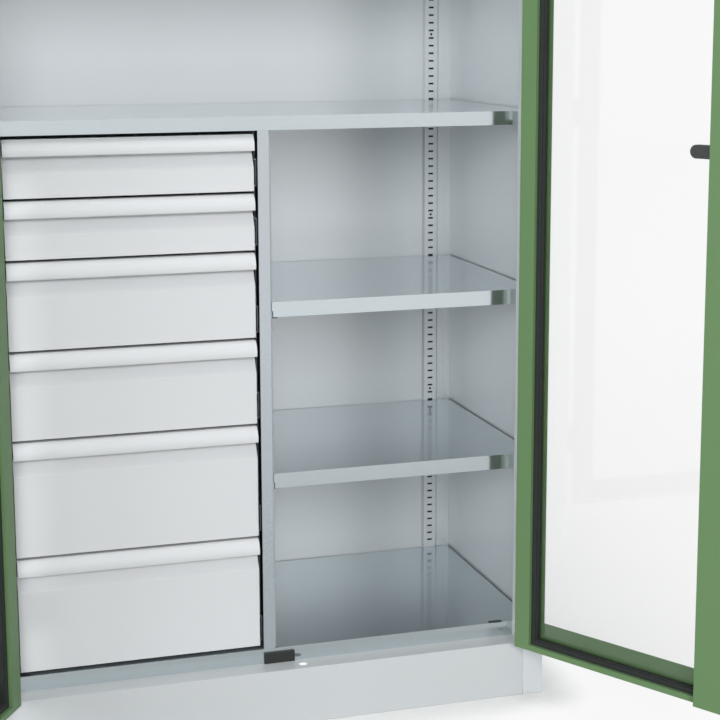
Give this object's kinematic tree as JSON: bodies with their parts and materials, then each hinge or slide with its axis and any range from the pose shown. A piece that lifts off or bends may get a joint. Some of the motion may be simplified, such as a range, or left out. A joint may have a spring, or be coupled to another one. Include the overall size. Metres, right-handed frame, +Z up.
{
  "type": "heavy duty storage cabinet",
  "caption": "Steel storage cabinet with two framed see-through doors, a stack of drawers at the left, adjustable shelves beside and above, and a turning handle that drives lock rods",
  "frame": {"origin": "middle of the closed cabinet's footprint, on the floor", "axes": "+X to the right as seen from the front, +Y to the back, +Z up"},
  "size_m": [1.3786, 0.9289, 1.95],
  "materials": {
    "grey_paint": "satin powder coat",
    "drawer_paint": "satin powder coat",
    "green_paint": "satin powder coat",
    "zinc": "galvanised, semi-gloss",
    "steel": "zinc plated",
    "rubber": "matt",
    "black_plastic": "fine texture",
    "pane": "clear, polished"
  },
  "bodies": {
    "carcass": {"left_side_panel": "grey_paint", "right_side_panel": "grey_paint", "back_panel": "grey_paint", "roof": "grey_paint", "header": "grey_paint", "base_front": "grey_paint", "base_rear": "grey_paint", "base_braces": "grey_paint", "floor_shelf": "zinc", "stop_pad": "rubber", "partition": "grey_paint", "drawer_bay_panel": "grey_paint", "wall_rails": "grey_paint", "partition_rails": "grey_paint", "upper_shelf": "zinc", "bay_shelf_low": "zinc", "bay_shelf_high": "zinc", "top_shelf_low": "zinc", "top_shelf_high": "zinc", "shelf_clips": "steel", "slide_outers": "steel", "hinge_posts": "green_paint"},
    "right_door": {"right_door_frame": "green_paint", "right_door_pane": "pane", "right_door_seal": "rubber", "right_door_hinges": "green_paint", "lock_plate": "black_plastic", "rod_guides": "black_plastic"},
    "left_door": {"left_door_frame": "green_paint", "left_door_pane": "pane", "left_door_seal": "rubber", "left_door_hinges": "green_paint"},
    "handle": {"lock_handle": "black_plastic", "lock_cam": "steel"},
    "lower_rod": {"rod_lower": "steel"},
    "upper_rod": {"rod_upper": "steel"},
    "drawer_1": {"drawer_1_front": "drawer_paint", "drawer_1_tray": "drawer_paint", "drawer_1_slides": "steel"},
    "slides_1": {"slide_middle_1": "steel"},
    "drawer_2": {"drawer_2_front": "drawer_paint", "drawer_2_tray": "drawer_paint", "drawer_2_slides": "steel"},
    "slides_2": {"slide_middle_2": "steel"},
    "drawer_3": {"drawer_3_front": "drawer_paint", "drawer_3_tray": "drawer_paint", "drawer_3_slides": "steel"},
    "slides_3": {"slide_middle_3": "steel"},
    "drawer_4": {"drawer_4_front": "drawer_paint", "drawer_4_tray": "drawer_paint", "drawer_4_slides": "steel"},
    "slides_4": {"slide_middle_4": "steel"},
    "drawer_5": {"drawer_5_front": "drawer_paint", "drawer_5_tray": "drawer_paint", "drawer_5_slides": "steel"},
    "slides_5": {"slide_middle_5": "steel"},
    "drawer_6": {"drawer_6_front": "drawer_paint", "drawer_6_tray": "drawer_paint", "drawer_6_slides": "steel"},
    "slides_6": {"slide_middle_6": "steel"}
  },
  "joints": [
    {"name": "right_door_hinge", "type": "hinge", "parent": "carcass", "child": "right_door", "pos_m": [0.4618, -0.2582, 0.9], "axis": [0, 0, 1], "range_deg": [-120, 0]},
    {"name": "left_door_hinge", "type": "hinge", "parent": "carcass", "child": "left_door", "pos_m": [-0.4618, -0.2582, 0.9], "axis": [0, 0, -1], "range_deg": [-120, 0]},
    {"name": "handle_turn", "type": "hinge", "parent": "right_door", "child": "handle", "pos_m": [0.66427, -0.6253, 1.005], "axis": [-0.866, -0.5, 0], "range_deg": [0, 90]},
    {"name": "lower_rod_slide", "type": "slide", "parent": "right_door", "child": "lower_rod", "axis": [0, 0, -1], "range_m": [0, 0.016]},
    {"name": "upper_rod_slide", "type": "slide", "parent": "right_door", "child": "upper_rod", "axis": [0, 0, 1], "range_m": [0, 0.016]},
    {"name": "drawer_1_slide", "type": "slide", "parent": "carcass", "child": "drawer_1", "axis": [0, -1, 0], "range_m": [0, 0.37]},
    {"name": "slides_1_slide", "type": "slide", "parent": "carcass", "child": "slides_1", "axis": [0, -1, 0], "range_m": [0, 0.185]},
    {"name": "drawer_2_slide", "type": "slide", "parent": "carcass", "child": "drawer_2", "axis": [0, -1, 0], "range_m": [0, 0.37]},
    {"name": "slides_2_slide", "type": "slide", "parent": "carcass", "child": "slides_2", "axis": [0, -1, 0], "range_m": [0, 0.185]},
    {"name": "drawer_3_slide", "type": "slide", "parent": "carcass", "child": "drawer_3", "axis": [0, -1, 0], "range_m": [0, 0.37]},
    {"name": "slides_3_slide", "type": "slide", "parent": "carcass", "child": "slides_3", "axis": [0, -1, 0], "range_m": [0, 0.185]},
    {"name": "drawer_4_slide", "type": "slide", "parent": "carcass", "child": "drawer_4", "axis": [0, -1, 0], "range_m": [0, 0.37]},
    {"name": "slides_4_slide", "type": "slide", "parent": "carcass", "child": "slides_4", "axis": [0, -1, 0], "range_m": [0, 0.185]},
    {"name": "drawer_5_slide", "type": "slide", "parent": "carcass", "child": "drawer_5", "axis": [0, -1, 0], "range_m": [0, 0.37]},
    {"name": "slides_5_slide", "type": "slide", "parent": "carcass", "child": "slides_5", "axis": [0, -1, 0], "range_m": [0, 0.185]},
    {"name": "drawer_6_slide", "type": "slide", "parent": "carcass", "child": "drawer_6", "axis": [0, -1, 0], "range_m": [0, 0.37]},
    {"name": "slides_6_slide", "type": "slide", "parent": "carcass", "child": "slides_6", "axis": [0, -1, 0], "range_m": [0, 0.185]}
  ],
  "couplings": [
    {"joint": "lower_rod_slide", "follows": "handle_turn", "m_per_rad": 0.010186},
    {"joint": "upper_rod_slide", "follows": "handle_turn", "m_per_rad": 0.010186},
    {"joint": "slides_1_slide", "follows": "drawer_1_slide", "ratio": 0.5},
    {"joint": "slides_2_slide", "follows": "drawer_2_slide", "ratio": 0.5},
    {"joint": "slides_3_slide", "follows": "drawer_3_slide", "ratio": 0.5},
    {"joint": "slides_4_slide", "follows": "drawer_4_slide", "ratio": 0.5},
    {"joint": "slides_5_slide", "follows": "drawer_5_slide", "ratio": 0.5},
    {"joint": "slides_6_slide", "follows": "drawer_6_slide", "ratio": 0.5}
  ]
}
